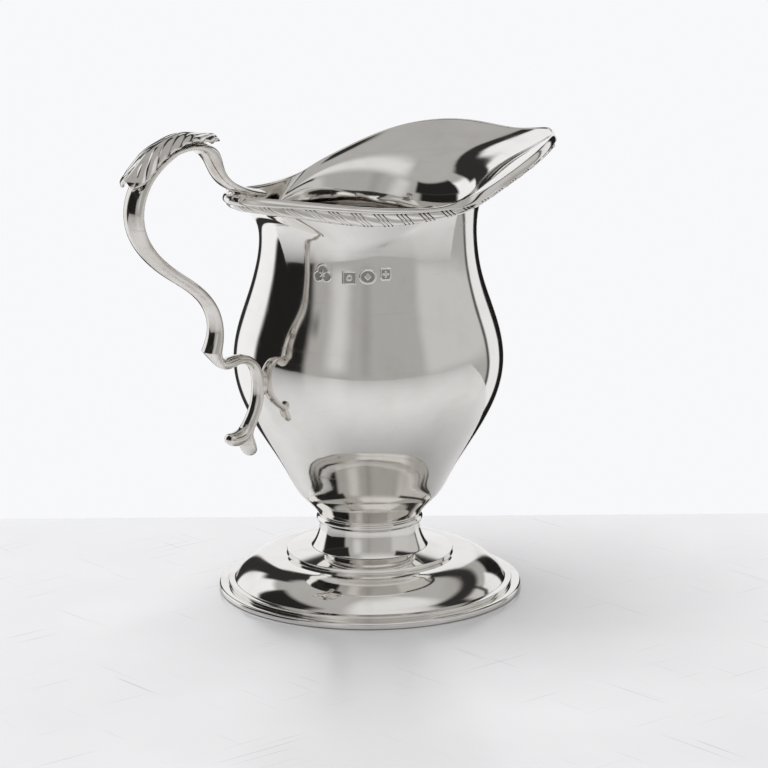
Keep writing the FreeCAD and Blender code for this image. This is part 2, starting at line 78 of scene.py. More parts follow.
# %% A socket that can be used in sums
class Wire:
    """An output socket that can be added, multiplied and passed on."""

    def __init__(self, socket):
        self.socket = socket

    def node(self, kind, settings, inputs, output=0):
        tree = self.socket.id_data
        made = tree.nodes.new(kind)
        for name, value in settings.items():
            setattr(made, name, value)
        for name, value in inputs.items():
            if isinstance(value, Wire):
                tree.links.new(value.socket, made.inputs[name])
            else:
                made.inputs[name].default_value = value
        return Wire(made.outputs[output]) if made.outputs else made

    def sum(self, operation, *values):
        return self.node("ShaderNodeMath", {"operation": operation}, dict(enumerate(values)))

    def __add__(self, other):
        return self.sum("ADD", self, other)

    def __sub__(self, other):
        return self.sum("SUBTRACT", self, other)

    def __rsub__(self, other):
        return self.sum("SUBTRACT", other, self)

    def __mul__(self, other):
        return self.sum("MULTIPLY", self, other)

    __radd__ = __add__
    __rmul__ = __mul__

    def held(self):
        """The same value kept between 0 and 1."""
        return self.node("ShaderNodeClamp", {}, {0: self})

    def step(self, low, high):
        """A smooth rise from 0 at low to 1 at high."""
        return self.node("ShaderNodeMapRange", {"interpolation_type": "SMOOTHSTEP"},
                         {0: self, 1: low, 2: high})

    def blend(self, first, second):
        """A colour: the first where this value is 0, the second where it is 1."""
        return self.node("ShaderNodeMix", {"data_type": "RGBA"}, {0: self, 6: first, 7: second}, 2)


print("sums ready")

# %% [markdown]
# ## The room around the jug
# Polished silver has no look of its own: it shows the room. A photographer hangs white sheets
# for the bright parts and black ones to draw the edges. Here the room is painted on the World
# by direction: a turn to the right of the camera's side and a height above the horizon. It
# gives broad soft light too, so the scene needs no sharp lamp.

# %% Room
room = bpy.data.worlds.new("studio")
room.use_nodes = True
bpy.context.scene.world = room
room.node_tree.nodes.clear()
looked = Wire(room.node_tree.nodes.new("ShaderNodeTexCoord").outputs["Generated"])


def along(direction):
    """How far the looked-at direction reaches along a given one."""
    return looked.node("ShaderNodeVectorMath", {"operation": "DOT_PRODUCT"},
                       {0: looked, 1: direction}, 1)


right = along((math.cos(VIEW_TURN), math.sin(VIEW_TURN), 0))
near = along((math.sin(VIEW_TURN), -math.cos(VIEW_TURN), 0))
turn = right.sum("ARCTAN2", right, near) * (180 / math.pi)
height = looked.sum("ARCSINE", along((0, 0, 1))) * (180 / math.pi)


def sheet_mask(turns, heights, soft):
    """1 inside a hung sheet, 0 outside, with a soft edge."""
    middle = (turns[0] + turns[1]) / 2
    away = (turn - middle).sum("WRAP", turn - middle, 180, -180)
    half = (turns[1] - turns[0]) / 2
    sideways = (half - away.sum("ABSOLUTE", away)).step(-soft, soft)
    upwards = (height - heights[0]).step(-soft, soft) * (heights[1] - height).step(-soft, soft)
    return sideways * upwards


SHEETS = [
    ((-180, 180), (50, 100), 8, 0.46),
    ((-24, 78), (44, 78), 12, 0.80),
    ((50, 121), (-3, 34), 6, 0.60),
    ((119, 124), (-30, 34), 1.5, 0.10),
    ((124, 146), (-40, 24), 2, 0.90),
    ((146, 167), (-40, 21), 2, 0.012),
    ((-36, -19), (2, 40), 7, 0.66),
    ((-6, 2), (-2, 38), 5, 0.36),
    ((-150, -112), (-40, 40), 3, 1.0),
    ((-112, -56), (-22, 25), 4, 0.015),
    ((-116, -48), (22, 47), 3, 0.02),
    ((-193, -165), (-60, 31), 1.5, 0.95),
    ((165, 194), (-60, 31), 1.5, 0.95),
    ((-166, -150), (-40, 46), 1.5, 0.03),
    ((60, 184), (31, 44), 3, 0.03),
    ((-184, -140), (31, 48), 3, 0.03),
]
ROOM_GREY = 0.43
brightness = looked.sum("ADD", ROOM_GREY, 0.0)
for turns, heights, soft, value in SHEETS:
    mask = sheet_mask(turns, heights, soft)
    brightness = brightness * (1 - mask) + mask * value
glow = brightness.node("ShaderNodeBackground", {}, {
    "Color": brightness.node("ShaderNodeCombineXYZ", {}, {
        0: brightness * (1.035 - brightness * 0.05), 1: brightness * (1.005 - brightness * 0.015),
        2: brightness * (0.96 + brightness * 0.05)}),
    "Strength": 1.0})
glow.node("ShaderNodeOutputWorld", {}, {"Surface": glow})
print("sheets hung:", len(SHEETS))

# %% [markdown]
# ## The table
# The jug stands on a pale, slightly glossy board whose back edge runs just behind it. A plane
# is enough, set square to the camera's turn, and its gloss gives the blurred mirror image
# under the foot.

# %% Table
def nothing_selected():
    """Leave edit mode and deselect everything, since operators act on all that is selected."""
    if bpy.context.object and bpy.context.object.mode != "OBJECT":
        bpy.ops.object.mode_set(mode="OBJECT")
    bpy.ops.object.select_all(action="DESELECT")


def turned_away(distance, sideways):
    """A place on the table, measured from the middle of the foot away from the camera."""
    return Vector((-math.sin(VIEW_TURN) * distance + math.cos(VIEW_TURN) * sideways,
                   math.cos(VIEW_TURN) * distance + math.sin(VIEW_TURN) * sideways, 0))


BACK_EDGE = 62 * MM
DEPTH = 0.75
nothing_selected()
bpy.ops.mesh.primitive_plane_add(size=2.4, location=turned_away(BACK_EDGE - DEPTH / 2, 0),
                                 rotation=(0, 0, VIEW_TURN))
table = bpy.context.object
table.name = "table"
table.scale = (1, DEPTH / 2.4, 1)
bpy.ops.object.transform_apply(location=True, rotation=True, scale=True)


def new_material(name):
    """An empty material with its shader and its Object coordinates."""
    material = bpy.data.materials.new(name)
    material.use_nodes = True
    tree = material.node_tree
    tree.nodes.clear()
    shader = tree.nodes.new("ShaderNodeBsdfPrincipled")
    output = tree.nodes.new("ShaderNodeOutputMaterial")
    tree.links.new(shader.outputs[0], output.inputs[0])
    place = Wire(tree.nodes.new("ShaderNodeTexCoord").outputs["Object"])
    return material, shader, place


def feed(shader, **values):
    """Put values or wires on a shader's sockets, written with _ for a space."""
    for name, value in values.items():
        socket = shader.inputs[name.replace("_", " ")]
        if isinstance(value, Wire):
            shader.id_data.links.new(value.socket, socket)
        else:
            socket.default_value = value


def cloudy(place, scale, detail=2.0, output=0, stretch=None):
    """Soft noise at a number of blotches per metre, stretched if asked."""
    if stretch:
        place = place.node("ShaderNodeMapping", {}, {"Vector": place, "Scale": stretch})
    return place.node("ShaderNodeTexNoise", {}, {"Vector": place, "Scale": scale, "Detail": detail},
                      output)


table_top, board, place = new_material("table_top")
worn = cloudy(place, 40, 4)
scratches = (cloudy(place, 1300, 1, stretch=(1, 0.02, 1)).step(0.70, 0.78)
             + cloudy(place, 1300, 1, stretch=(0.02, 1, 1)).step(0.70, 0.78))
feed(board, Base_Color=(worn * 0.3 + scratches * 0.7).held().blend((0.66, 0.66, 0.67, 1),
                                                                  (0.46, 0.46, 0.48, 1)),
     Roughness=0.17 + worn * 0.10, IOR=1.75)
table.data.materials.append(table_top)
print("table's back edge", BACK_EDGE / MM, "mm behind the foot")

# %% [markdown]
# ## One broad lamp
# The painted room alone would leave the table grey. A broad lamp overhead brightens it and
# lays a soft shade beside the foot. It is kept out of reflections, so the silver still shows
# only the hung sheets.

# %% Lamp
overhead = bpy.data.lights.new("overhead", "AREA")
overhead.shape = "DISK"
overhead.size = 1.1
overhead.energy = 19
lamp = bpy.data.objects.new("overhead", overhead)
bpy.context.collection.objects.link(lamp)
lamp.location = turned_away(0.25, -0.2) + Vector((0, 0, 1.3))
lamp.rotation_euler = (-lamp.location).to_track_quat("-Z", "Y").to_euler()
lamp.visible_glossy = False
print("lamp", round(lamp.location.z, 2), "m above the table")

# %% [markdown]
# ## Drawing out a skin ring by ring
# A raised bowl, a scroll and a prong are all tubes whose girth changes along the way. Starting
# from a circle of edges and extruding it once for each ring gives clean quads, and a
# Subdivision Surface modifier then rounds the cage into a smooth wall.

# %% Skins from rings
def edit(piece):
    """Open a piece for editing, with nothing selected in it."""
    nothing_selected()
    bpy.context.view_layer.objects.active = piece
    piece.select_set(True)
    bpy.ops.object.mode_set(mode="EDIT")
    bpy.ops.mesh.select_all(action="DESELECT")


def ring_skin(name, rings):
    """A tube of quads through rings of points, drawn out one loop at a time."""
    nothing_selected()
    bpy.ops.mesh.primitive_circle_add(vertices=len(rings[0]), radius=0.01)
    piece = bpy.context.object
    piece.name = piece.data.name = name
    bpy.ops.object.mode_set(mode="EDIT")
    net = bmesh.from_edit_mesh(piece.data)
    column = net.verts.layers.int.new("column")
    for number, vert in enumerate(net.verts):
        vert[column] = number
    bpy.ops.mesh.select_all(action="SELECT")
    for level, ring in enumerate(rings):
        if level:
            bpy.ops.mesh.extrude_edges_move()
        net = bmesh.from_edit_mesh(piece.data)
        column = net.verts.layers.int["column"]
        for vert in net.verts:
            if vert.select:
                vert.co = ring[vert[column]]
        bmesh.update_edit_mesh(piece.data)
    bpy.ops.object.mode_set(mode="OBJECT")
    return piece


def add_modifier(piece, kind, **settings):
    """Add a modifier, set it and apply it."""
    nothing_selected()
    bpy.context.view_layer.objects.active = piece
    piece.select_set(True)
    bpy.ops.object.modifier_add(type=kind)
    modifier = piece.modifiers[-1]
    for setting, value in settings.items():
        setattr(modifier, setting, value)
    bpy.ops.object.modifier_apply(modifier=modifier.name)


def rounded(piece, level):
    """Round a cage with subdivision."""
    add_modifier(piece, "SUBSURF", levels=level, render_levels=level)


def close_ends(piece):
    """Fill every open loop with a flat face."""
    edit(piece)
    bpy.ops.mesh.select_mode(type="EDGE")
    bpy.ops.mesh.select_non_manifold(extend=False, use_wire=False, use_multi_face=False,
                                     use_non_contiguous=False, use_verts=False)
    bpy.ops.mesh.edge_face_add()
    bpy.ops.mesh.select_mode(type="VERT")


def finished(piece, material, nodes=(), angle=35):
    """Turn faces outwards, smooth them, give the finish, and fix the piece to the jug."""
    edit(piece)
    bpy.ops.mesh.select_all(action="SELECT")
    bpy.ops.mesh.normals_make_consistent(inside=False)
    nothing_selected()
    bpy.context.view_layer.objects.active = piece
    piece.select_set(True)
    bpy.ops.object.shade_smooth_by_angle(angle=math.radians(angle))
    piece.data.materials.clear()
    piece.data.materials.append(material)
    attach(piece, "root")
    if nodes:
        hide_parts(*nodes)
    faces = piece.data.polygons
    print("%-22s %6d faces" % (piece.name, len(faces)))
    return piece


print("skins can be drawn out")

# %% [markdown]
# ## The silver
# Old table silver is bright but never perfect. Years of rubbing leave hair-fine scratches that
# blur what it mirrors, thumbs leave cloudy smears, and the dark sulphide stays in the grooves
# where no cloth reaches. The metal is one Principled shader at full Metallic: smears and hair
# lines go into Roughness, the dents of the raising hammer into a Bump, and tarnish into colour.

# %% Silver
def silver(name, shine, tarnish, dents, grooved=False):
    """Sterling silver: how clear, how tarnished, how uneven, and whether it has cut grooves.

    A grooved piece carries an attribute called groove, 1 at the bottom of each cut.
    """
    material, shader, place = new_material(name)
    smears = cloudy(place, 55, 3, stretch=(1, 1, 0.6)).step(0.42, 0.72)
    hairs = cloudy(place, 700, 2, stretch=(0.05, 0.05, 1)).step(0.60, 0.74)
    cross_hairs = cloudy(place, 800, 2, stretch=(1, 1, 0.06)).step(0.62, 0.76)
    grime = cloudy(place, 160, 4).step(0.45, 0.75)
    bright = (0.88, 0.865, 0.84, 1)
    dull = (0.58, 0.54, 0.48, 1)
    colour = ((grime * 0.25 + smears * 0.2 + hairs * 0.15 + 0.12) * tarnish).held().blend(bright, dull)
    roughness = shine + smears * 0.05 + hairs * 0.05 + cross_hairs * 0.05
    if grooved:
        groove = place.node("ShaderNodeAttribute", {"attribute_name": "groove"}, {}, "Fac")
        dark = groove.step(0.35, 0.75)
        colour = dark.blend(colour, (0.05, 0.047, 0.045, 1))
        roughness = roughness + dark * 0.35
    skin = cloudy(place, 60, 1) * 1.0 + cloudy(place, 240, 1) * 0.12
    bump = skin.node("ShaderNodeBump", {}, {"Strength": 1.0, "Distance": dents * MM, "Height": skin})
    feed(shader, Base_Color=colour, Metallic=1.0, Roughness=roughness, Normal=bump)
    return material


bowl_silver = silver("bowl_silver", 0.045, 0.5, 0.10)
foot_silver = silver("foot_silver", 0.06, 0.8, 0.05)
wire_silver = silver("wire_silver", 0.09, 1.0, 0.02)
border_silver = silver("border_silver", 0.10, 1.0, 0.02, grooved=True)
handle_silver = silver("handle_silver", 0.10, 2.0, 0.06)
leaf_silver = silver("leaf_silver", 0.10, 1.8, 0.02, grooved=True)
mark_silver = silver("mark_silver", 0.12, 1.0, 0.01, grooved=True)
solder_silver = silver("solder_silver", 0.22, 1.5, 0.10)
print("silver in eight states of wear")

# %% [markdown]
# ## The foot
# A silversmith spins the foot from a disc against a turning wooden form, so every level is a
# true circle. Blender's spin does the same: a closed outline in the X-Z plane is swept right
# round the axis. The outline starts as a circle of corners that are then moved to their places,
# and the meeting edges are merged. Small rounds on the corners catch the light.

# %% Outlines
def bow(start, end, radius, side, count=10):
    """Points of a circle arc from start towards end, the end itself left out."""
    start, end = Vector(start), Vector(end)
    chord = end - start
    rise = math.sqrt(radius * radius - chord.length_squared / 4)
    centre = (start + end) / 2 + Vector((-chord.y, chord.x)).normalized() * rise * side
    first = math.atan2(*(start - centre).yx)
    sweep = (math.atan2(*(end - centre).yx) - first + math.pi) % (2 * math.pi) - math.pi
    return [centre + Vector((math.cos(first + sweep * k / count), math.sin(first + sweep * k / count)))
            * radius for k in range(count)]


def eased(corners, radius):
    """An outline with each corner cut to a small round."""
    points = []
    for number, corner in enumerate(corners):
        before = Vector(corners[number - 1]) - Vector(corner)
        after = Vector(corners[(number + 1) % len(corners)]) - Vector(corner)
        if before.angle(after) > math.radians(165):
            points.append(Vector(corner))
            continue
        reach = min(radius, before.length * 0.45, after.length * 0.45)
        start = Vector(corner) + before.normalized() * reach
        end = Vector(corner) + after.normalized() * reach
        for share in (0, 0.33, 0.67, 1):
            one = start.lerp(Vector(corner), share)
            two = Vector(corner).lerp(end, share)
            points.append(one.lerp(two, share))
    return points


def spun(name, outline, steps=160):
    """A closed outline of (radius, height) in millimetres, spun once round the axis."""
    nothing_selected()
    bpy.ops.mesh.primitive_circle_add(vertices=len(outline), radius=0.01)
    piece = bpy.context.object
    piece.name = piece.data.name = name
    bpy.ops.object.mode_set(mode="EDIT")
    net = bmesh.from_edit_mesh(piece.data)
    for vert, (radius, height) in zip(net.verts, outline):
        vert.co = (radius * MM, 0, height * MM)
    bmesh.update_edit_mesh(piece.data)
    bpy.ops.mesh.select_all(action="SELECT")
    bpy.ops.mesh.spin(steps=steps, angle=2 * math.pi, center=(0, 0, 0), axis=(0, 0, 1))
    bpy.ops.mesh.select_all(action="SELECT")
    bpy.ops.mesh.remove_doubles(threshold=0.002 * MM)
    bpy.ops.object.mode_set(mode="OBJECT")
    return piece


# %% Base ring, pedestal and collar
base_outline = eased([(33.6, 0), (37.5, 0), (37.5, 1.6), (33.6, 1.6)], 0.55)
base = spun("foot_base_ring_turned", base_outline)
finished(base, foot_silver, ["foot_base_ring"])

pedestal_outline = eased(
    [(35.2, 1.55), (35.2, 2.6)] + bow((33.6, 2.6), (21.4, 8.8), 12.7, 1, 14)
    + [(21.4, 8.8), (20.6, 8.8), (20.6, 9.8)] + bow((14.4, 10.8), (12.4, 17.0), 10.61, -1, 12)
    + [(12.4, 17.3), (11.6, 17.3)] + bow((11.6, 17.0), (13.6, 10.0), 11.41, 1, 10)
    + [(13.6, 10.0), (20.4, 8.1)] + bow((21.0, 8.0), (33.2, 1.9), 11.9, -1, 10)
    + [(34.4, 1.8), (34.4, 1.55)], 0.14)
pedestal = spun("foot_pedestal_spun", pedestal_outline)
finished(pedestal, foot_silver, ["foot_pedestal"])

collar_outline = eased([(11.7, 17.0), (12.4, 17.0)] + bow((12.5, 17.0), (12.5, 18.9), 1.0, 1, 8)
                       + [(12.4, 18.9), (11.7, 18.9)], 0.1)
collar = spun("foot_collar_bead", collar_outline)
finished(collar, foot_silver, ["foot_collar"])

# %% [markdown]
# ## The bowl
# The bowl was raised from one sheet with a hammer: round at the belly, drawn in at the neck,
# then pulled out into a long pouring lip. Sixteen columns of a cage follow that: true circles
# up to the neck, and a lip curve whose corners were placed one by one. Subdivision makes the skin,
# and Solidify gives it an even wall on the inside.

# %% Bowl cage
COLUMNS = 16
COLUMN_ANGLES = [math.pi - 2 * math.pi * column / COLUMNS for column in range(COLUMNS)]
CIRCLE_POLE = 3 / (2 + math.cos(2 * math.pi / COLUMNS))
ROUND_RINGS = [(2.98, 17.0), (12.2, 17.0), (13.2, 20.6), (18.1, 24.4), (21.0, 31.0), (27.1, 40.0),
               (32.0, 49.0), (33.8, 58.0), (32.2, 67.0), (28.7, 76.0), (26.5, 85.0)]
HALF_LIP = [(-45.0, 0, 102.6), (-35.2, 11.1, 102.8), (-16.4, 21.7, 99.7), (2.7, 31.3, 98.8),
            (17.6, 30.1, 103.6), (34.0, 26.9, 109.0), (47.6, 16.4, 110.3), (55.8, 6.5, 106.4),
            (62.2, 0, 108.3)]
WIRE_HEIGHT = 2.1 * MM
BORDER = 4.8 * MM
BOWL_BOTTOM = ROUND_RINGS[0][1] * MM
WALL_DROP = 0.45
SPREAD_FOR_FULL_LEAN = 13 * MM
STRONGEST_LEAN = 1.3
THROAT_SHARE = 0.74


def circle_ring(radius, height):
    reach = radius * CIRCLE_POLE * MM
    return [Vector((reach * math.cos(a), reach * math.sin(a), height * MM)) for a in COLUMN_ANGLES]


lip = [Vector(corner) * MM for corner in HALF_LIP]
lip += [Vector((corner.x, -corner.y, corner.z)) for corner in lip[-2:0:-1]]
cage = [circle_ring(radius, height) for radius, height in ROUND_RINGS]
neck = cage[-1]
steps = []
for a, b in zip(neck, lip):
    spread = min((a - b).xy.length / SPREAD_FOR_FULL_LEAN, STRONGEST_LEAN)
    fall = Vector(((a.x - b.x) * spread, (a.y - b.y) * spread, (a.z - b.z) * WALL_DROP))
    steps.append(fall.normalized() * BORDER)
lower = [b + step * 2 for b, step in zip(lip, steps)]
throat = [Vector((a.x, a.y, a.z + (b.z - a.z) * THROAT_SHARE)) for a, b in zip(neck, lower)]
cage += [throat, lower, [b + step for b, step in zip(lip, steps)], lip]
print("bowl cage:", len(cage), "rings of", COLUMNS)

# %% Bowl
bowl = ring_skin("bowl_raised", cage)
edit(bowl)
net = bmesh.from_edit_mesh(bowl.data)
for vert in net.verts:
    vert.select = (vert.co - Vector((0, 0, BOWL_BOTTOM))).length < 4 * MM
net.select_flush(True)
bmesh.update_edit_mesh(bowl.data)
bpy.ops.mesh.edge_face_add()
bpy.ops.mesh.select_all(action="SELECT")
bpy.ops.mesh.normals_make_consistent(inside=False)
nothing_selected()
rounded(bowl, 3)
lean_out = sum(face.normal.dot(Vector((face.center.x, face.center.y, 0))) * face.area
               for face in bowl.data.polygons)
if lean_out < 0:
    edit(bowl)
    bpy.ops.mesh.select_all(action="SELECT")
    bpy.ops.mesh.flip_normals()
add_modifier(bowl, "SOLIDIFY", thickness=0.8 * MM, offset=-1, use_even_offset=True)
add_modifier(bowl, "BEVEL", width=0.22 * MM, segments=2, limit_method="ANGLE",
             angle_limit=math.radians(60))
finished(bowl, bowl_silver, ["bowl"], 50)
print("outward lean", lean_out > 0)

# %% [markdown]
# ## Following the lip
# The wire and the cast border are bent along the lip, so each needs to know, at any place
# along it, where the wall is, which way is up the wall and which way is out. The same smooth
# curve that rounds the cage gives all three, and a table of lengths turns millimetres along
# the lip into columns of the cage.

# %% Places on the lip
def spline_shares(t):
    return ((1 - t) ** 3 / 6, (3 * t ** 3 - 6 * t ** 2 + 4) / 6, (3 * t * (1 + t - t * t) + 1) / 6,
            t ** 3 / 6)


def on_ring(ring, column):
    """A place on the smooth closed curve of a ring of corners."""
    whole = math.floor(column)
    total = Vector((0, 0, 0))
    for step, share in enumerate(spline_shares(column - whole)):
        total += ring[(whole - 1 + step) % len(ring)] * share
    return total


def ring_at(level):
    """The ring of corners at a level between two rings of the bowl's cage."""
    beyond = [top * 2 - under for top, under in zip(cage[-1], cage[-2])]
    rings = cage + [beyond]
    span = min(int(level), len(cage) - 2)
    ring = []
    for column in range(COLUMNS):
        total = Vector((0, 0, 0))
        for step, share in enumerate(spline_shares(level - span)):
            total += rings[span - 1 + step][column] * share
        ring.append(total)
    return ring


LIP_TOP = len(cage) - 1
WIRE_FOOT = ring_at(LIP_TOP - WIRE_HEIGHT / BORDER)
BORDER_FOOT = ring_at(LIP_TOP - 1)
LIP_EDGE = ring_at(LIP_TOP)


def wall_frame(low, top, column):
    """Foot of a moulding, the way up the wall to its head, and the way out."""
    foot = on_ring(low, column)
    head = on_ring(top, column)
    ahead = on_ring(low, column + 0.02) - on_ring(low, column - 0.02)
    out = (head - foot).cross(ahead).normalized()
    return foot, head - foot, out


side_out = wall_frame(WIRE_FOOT, LIP_EDGE, 4)[2]
print("the wall's outside at the lip's side faces", round(math.degrees(side_out.angle(Vector((0, 0, 1))))),
      "degrees from straight up")

# %% [markdown]
# ## The lip wire
# A drawn half-round wire is soldered along the top to stiffen the thin edge. Its section is a
# short arc, and one loop of corners is drawn out for each point of that arc, right round the
# mouth.

# %% Lip wire
AROUND = 192


def moulding(name, low, top, section):
    """A closed moulding round the mouth, its section given as (up the wall, out in millimetres)."""
    rings = []
    for up, out_by in section:
        ring = []
        for number in range(AROUND):
            foot, climb, out = wall_frame(low, top, number * COLUMNS / AROUND)
            ring.append(foot + climb * up + out * out_by * MM)
        rings.append(ring)
    piece = ring_skin(name, rings)
    edit(piece)
    bpy.ops.mesh.select_mode(type="EDGE")
    bpy.ops.mesh.select_non_manifold(extend=False, use_wire=False, use_multi_face=False,
                                     use_non_contiguous=False, use_verts=False)
    bpy.ops.mesh.bridge_edge_loops()
    bpy.ops.mesh.select_mode(type="VERT")
    nothing_selected()
    return piece


wire_section = [(0.42, -0.3), (0.36, 0.0), (0.36, 0.45), (0.42, 0.85), (0.54, 1.12), (0.72, 1.18),
                (0.90, 1.0), (1.05, 0.62), (1.14, 0.12), (1.16, -0.35), (1.08, -0.80), (0.92, -1.02),
                (0.74, -1.0), (0.66, -0.85), (0.66, -0.4)]
wire = moulding("lip_wire_drawn", WIRE_FOOT, LIP_EDGE, wire_section)
add_modifier(wire, "SUBSURF", levels=1, render_levels=1)
finished(wire, wire_silver, ["lip_wire"], 50)

# %% [markdown]
# ## The gadrooned border
# Under the wire runs a cast border of slanting lobes: one broad lobe, then two thin reeds, over
# and over. One repeat is shaped on a small grid, an array lays the repeats end to end, and the
# strip is then bent along the lip. The wall leans out there, so the strip's lower edge is drawn
# out to hang nearly upright, as the cast one does. It fades out before the tip of the spout.

# %% One repeat of the border
REPEAT = 5.3
SLANT = -4.2
CUTS = (0.56, 0.745, 0.93)
CUT_WIDTH = 0.052
SAMPLES = 400
COLUMN_STEP = COLUMNS / 2 / SAMPLES
half_lip = [0.0]
for number in range(SAMPLES):
    a = on_ring(WIRE_FOOT, number * COLUMN_STEP)
    b = on_ring(WIRE_FOOT, (number + 1) * COLUMN_STEP)
    half_lip.append(half_lip[-1] + (b - a).length / MM)
half_length = half_lip[-1]
repeats = round(half_length / REPEAT)
pitch = half_length / repeats
print("half the lip is", round(half_length, 1), "mm, so", repeats, "repeats of", round(pitch, 2), "mm")


def lobe(share, start, end):
    """The rounded top of a lobe between two shares of the repeat."""
    middle = (start + end) / 2
    half = (end - start) / 2
    return math.sqrt(max(0.0, 1 - ((share - middle) / half) ** 2))


def cut_depth(share):
    """1 in the middle of the three cuts that part the lobe and its reeds, 0 on the crowns."""
    return max(math.exp(-((share % 1 - cut) / CUT_WIDTH) ** 4) for cut in CUTS)


def border_ribs(share):
    """1 on the crowns of the lobe and its two reeds, low in the cuts between them."""
    share = share % 1
    first, second, last = CUTS
    crown = max(lobe(share, last - 1, first), lobe(share, last, first + 1),
                0.9 * lobe(share, first, second), 0.9 * lobe(share, second, last))
    return crown * (1 - 0.6 * cut_depth(share))


def border_relief(share, up):
    """Relief in millimetres at a share of the repeat and a share of the border's height."""
    back = math.sin(math.pi * min(max(up, 0), 1)) ** 0.5
    return back * (0.90 + 0.22 * border_ribs(share) + 0.20 * (1 - up))


def column_of(distance):
    """The column of the cage at a distance in millimetres along half the lip."""
    distance = min(max(distance, 0), half_length)
    for number in range(SAMPLES):
        if half_lip[number + 1] >= distance:
            rest = (distance - half_lip[number]) / (half_lip[number + 1] - half_lip[number])
            return (number + rest) * COLUMN_STEP
    return COLUMNS / 2


nothing_selected()
bpy.ops.mesh.primitive_grid_add(x_subdivisions=48, y_subdivisions=12, size=1,
                                location=(0.5, 0.5, 0))
border = bpy.context.object
border.name = border.data.name = "gadroon_border_left_cast"
bpy.ops.object.transform_apply(location=True, rotation=False, scale=False)
cuts = border.data.attributes.new("groove", "FLOAT", "POINT")
for number, vert in enumerate(border.data.vertices):
    cuts.data[number].value = cut_depth(vert.co.x)
    vert.co.z = border_relief(vert.co.x, vert.co.y)
add_modifier(border, "ARRAY", count=repeats, relative_offset_displace=(1, 0, 0),
             use_merge_vertices=True, merge_threshold=0.001)
print("the strip has", len(border.data.polygons), "faces")

# %% Both borders
FACE_HEIGHT = 1.36
BELOW_FOOT = 0.03
SUNK = 0.05
HANG = 0.75
FADE_START = 12
FADE_LENGTH = 9
FADED_BY = 0.75


def bent_along_lip(piece, side):
    """Bend a straight strip along the lip on one side of the jug: +1 is the +Y side."""
    for vert in piece.data.vertices:
        distance = (vert.co.x + SLANT / pitch * (vert.co.y - 0.5)) * pitch
        foot, climb, out = wall_frame(BORDER_FOOT, WIRE_FOOT, column_of(distance))
        near_tip = (distance - half_length + FADE_START) / FADE_LENGTH
        fade = 1 - FADED_BY * max(0.0, min(1.0, near_tip))
        sideways = Vector((out.x, out.y, 0)).normalized()
        hang = climb.xy.length * HANG * (1 - vert.co.y) * min(1, vert.co.y * 8) * fade
        place = foot + climb * (vert.co.y * FACE_HEIGHT - BELOW_FOOT)
        place += out * (vert.co.z * fade - SUNK) * MM
        place += sideways * hang
        vert.co = (place.x, place.y * side, place.z)


other = border.copy()
other.data = border.data.copy()
other.name = other.data.name = "gadroon_border_right_cast"
bpy.context.collection.objects.link(other)
bent_along_lip(border, 1)
bent_along_lip(other, -1)
for strip, node in ((border, "gadroon_border_left"), (other, "gadroon_border_right")):
    add_modifier(strip, "SOLIDIFY", thickness=0.25 * MM, offset=1)
    finished(strip, border_silver, [node], 50)

# %% [markdown]
# ## The handle
# The handle is cast in scrolls: a bracket that bows out from the lip, a long main scroll, and a
# lower scroll that curls back to the belly and ends in a forked tail. Each is a bar whose oval
# section swells and thins, so each is drawn out from an eight-sided ring along a list of
# stations: how far out and up, then how deep and how wide.

# %% Handle stations
BELLY_SEAT = 34.55
HEEL = (41.8, 57.0, 45.66, 28.2)
DEPTH_OF_SCROLL = 3.2
WIDTH_OF_SCROLL = 6.5
SECTION = 8
SECTION_POLE = 3 / (2 + math.cos(2 * math.pi / SECTION))
HANDLE = [(-0.290, 1.013, 0.50, 1.14), (-0.150, 1.030, 0.62, 1.06), (0.040, 1.080, 0.74, 0.92),
          (0.116, 1.165, 0.82, 0.86), (0.122, 1.250, 1.45, 0.86), (0.257, 1.299, 0.75, 0.92),
          (0.389, 1.310, 0.75, 0.95), (0.531, 1.292, 0.78, 0.97), (0.704, 1.242, 0.90, 1.00),
          (0.873, 1.161, 1.00, 1.03), (1.000, 1.036, 1.08, 1.05), (1.017, 0.898, 1.08, 1.03),
          (0.920, 0.776, 1.02, 0.93), (0.757, 0.676, 0.94, 0.84), (0.584, 0.602, 0.90, 0.78),
          (0.437, 0.525, 0.90, 0.76), (0.348, 0.427, 0.92, 0.76), (0.349, 0.313, 0.95, 0.80),
          (0.428, 0.219, 1.25, 0.96), (0.385, 0.162, 0.66, 0.62), (0.318, 0.130, 1.02, 0.70),
          (0.175, 0.157, 0.76, 0.54), (0.059, 0.140, 0.76, 0.54), (-0.006, 0.086, 0.78, 0.56),
          (-0.003, 0.013, 0.78, 0.58), (0.016, -0.057, 0.78, 0.58), (0.057, -0.121, 0.80, 0.58),
          (0.118, -0.180, 0.84, 0.60), (0.192, -0.236, 0.90, 0.64)]


def handle_point(out, up):
    radius = BELLY_SEAT + (HEEL[0] - BELLY_SEAT) * up + out * HEEL[3]
    return Vector((-radius, 0, HEEL[1] + HEEL[2] * up)) * MM


def directions(centres):
    last = len(centres) - 1
    return [(centres[min(k + 1, last)] - centres[max(k - 1, 0)]).normalized()
            for k in range(len(centres))]


def section(centre, direction, depth, width, droop=0.0):
    """A ring of corners for an oval across the handle, its edges lowered by the droop."""
    across = Vector((0, 1, 0))
    rise = across.cross(direction).normalized()
    ring = []
    for number in range(SECTION):
        angle = 2 * math.pi * number / SECTION
        lift = math.cos(angle) * depth / 2 * SECTION_POLE - droop * math.sin(angle) ** 2
        ring.append(centre + (rise * lift + across * (math.sin(angle) * width / 2 * SECTION_POLE)) * MM)
    return ring


